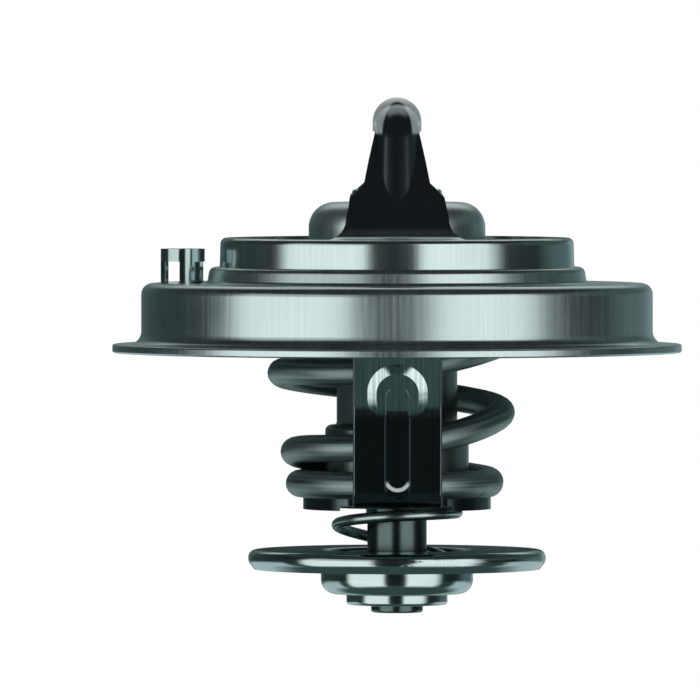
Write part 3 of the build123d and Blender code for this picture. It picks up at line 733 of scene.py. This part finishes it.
whole_plate = bmesh.new()
whole_plate.from_mesh(drilled)
for face in whole_plate.faces:
    face.smooth = True
for edge in whole_plate.edges:
    edge.smooth = edge.calc_face_angle(0) < SHARP
whole_plate.to_mesh(plate_mesh)
whole_plate.free()
even = plate_piece.modifiers.new("even_normals", "WEIGHTED_NORMAL")
even.keep_sharp = True
plate_mesh.materials.append(finishes["drawn_steel"])
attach(plate_piece, "housing")
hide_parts("flange_plate")
print("flange plate faces:", len(plate_mesh.polygons))

# %% [markdown]
# ## The two springs
#
# A valve spring is hard round wire, wound into a cone whose end turns lie flat. The CAD
# solid is true to size, but its facets show in a highlight. A curve along the same path,
# beveled to the wire's thickness, is smooth all the way and has a map of its own, so the
# drawing marks can run along the wire. Its path is worked out first: the turns, the soft
# start of the climb at both flat ends, the cone, and the middle turns, which hang a little
# lower at the front in the photograph.

# %% The wire's path
STEPS_A_TURN = 60
SOFTEN = 0.7                     # turns over which the climb starts and ends


def climbed(turn, middle, soften):
    """Turns climbed so far, where the climb starts softly about a middle turn."""
    part = min(max((turn - middle) / soften + 0.5, 0), 1)
    return soften * (part**3 - part**4 / 2) + max(turn - middle - soften / 2, 0)


def coil_points(turns, climb, heights, radii, centre_x=0, sag=0):
    """Points of a cone-shaped coil with flat end turns, in millimetres."""
    pitch = (heights[1] - heights[0]) / (climb[1] - climb[0])
    count = round((turns[1] - turns[0]) * STEPS_A_TURN)
    points = []
    for index in range(count + 1):
        turn = turns[0] + (turns[1] - turns[0]) * index / count
        climbs = climbed(turn, climb[0], SOFTEN) - climbed(turn, climb[1], SOFTEN)
        z = heights[0] + pitch * climbs
        share = (z - heights[0]) / (heights[1] - heights[0])
        r = radii[0] + (radii[1] - radii[0]) * share
        angle = 2 * pi * turn
        z -= sag * 4 * share * (1 - share) * min(sin(angle), 0) ** 2
        points.append(Vector((centre_x + r * cos(angle), r * sin(angle), z)))
    return points


MAIN_WIRE, MAIN_FOOT, MAIN_HEAD = 3.2, -17.0, 10.3
BYPASS_WIRE, BYPASS_FOOT, BYPASS_HEAD = 1.3, -27.5, -18.2
main_line = coil_points(
    turns=(-1.1, 3.85), climb=(0.1, 2.7), radii=(11.2, 15.2), centre_x=-0.3, sag=1.6,
    heights=(MAIN_FOOT + MAIN_WIRE / 2, MAIN_HEAD - MAIN_WIRE / 2))
bypass_line = coil_points(
    turns=(-1.6, 1.33), climb=(-0.15, 0.62), radii=(6.85, 7.1),
    heights=(BYPASS_FOOT + BYPASS_WIRE / 2, BYPASS_HEAD - BYPASS_WIRE / 2))
print("path points:", len(main_line), len(bypass_line))

# %% [markdown]
# ## From a line to a wire
#
# The curve's bevel gives the round wire and closes its ends with flat caps. The curve is
# made a mesh, because a sharp sheared end isn't real either: the two rims are found by
# their steep angle, and a bevel rounds them as the coiling machine's cutter does.

# %% The wire
WIRE_SIDES = 20
RIM_TURN = radians(60)           # only the rims of the two ends turn more than this
END_ROUND = 0.12                 # how round the ends are, as a share of the wire


def wire_curve(name, line, wire_d):
    """A curve along a line, as thick as the wire."""
    path = bpy.data.curves.new(name + "_line", "CURVE")
    path.dimensions = "3D"
    path.twist_mode = "Z_UP"
    path.bevel_depth = wire_d / 2 * MM
    path.bevel_resolution = WIRE_SIDES // 2 - 2
    path.use_fill_caps = True
    spline = path.splines.new("POLY")
    spline.points.add(len(line) - 1)
    for point, place in zip(spline.points, line):
        point.co = (*(place * MM), 1)
    return path


def wound_wire(name, line, wire_d):
    """A round wire along a line, with a map that runs round it and along it."""
    drawn_line = bpy.data.objects.new(name + "_line", wire_curve(name, line, wire_d))
    mesh = bpy.data.meshes.new_from_object(drawn_line)
    mesh.name = name
    bpy.data.objects.remove(drawn_line)
    wire_mesh = bmesh.new()
    wire_mesh.from_mesh(mesh)
    bmesh.ops.remove_doubles(wire_mesh, verts=wire_mesh.verts, dist=1e-7)
    rims = [edge for edge in wire_mesh.edges if edge.calc_face_angle(0) > RIM_TURN]
    bmesh.ops.bevel(wire_mesh, geom=rims, offset=END_ROUND * wire_d * MM, segments=3,
                    profile=0.5, affect="EDGES", material=-1)
    bmesh.ops.recalc_face_normals(wire_mesh, faces=wire_mesh.faces)
    for face in wire_mesh.faces:
        face.smooth = True
    wire_mesh.to_mesh(mesh)
    wire_mesh.free()
    print(name, "faces:", len(mesh.polygons), "maps:", [layer.name for layer in mesh.uv_layers])
    return link(name, mesh)


main_coil = wound_wire("main_spring_wire", main_line, MAIN_WIRE)
bypass_coil = wound_wire("bypass_spring_wire", bypass_line, BYPASS_WIRE)
main_coil.data.materials.append(finishes["spring_wire"])
bypass_coil.data.materials.append(bypass_wire)

# %% [markdown]
# ## How the springs move
#
# Each spring stands for its CAD solid, which is hidden. The main spring's foot rests on the
# yoke and its head under the valve hat; it rides the housing. The bypass spring hangs under
# the wax cup and rides the element.

# %% Where the springs belong
for coil, node, body in ((main_coil, "main_spring", "housing"),
                         (bypass_coil, "bypass_spring", "element")):
    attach(coil, body)
    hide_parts(node)
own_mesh(main_coil)
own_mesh(bypass_coil)
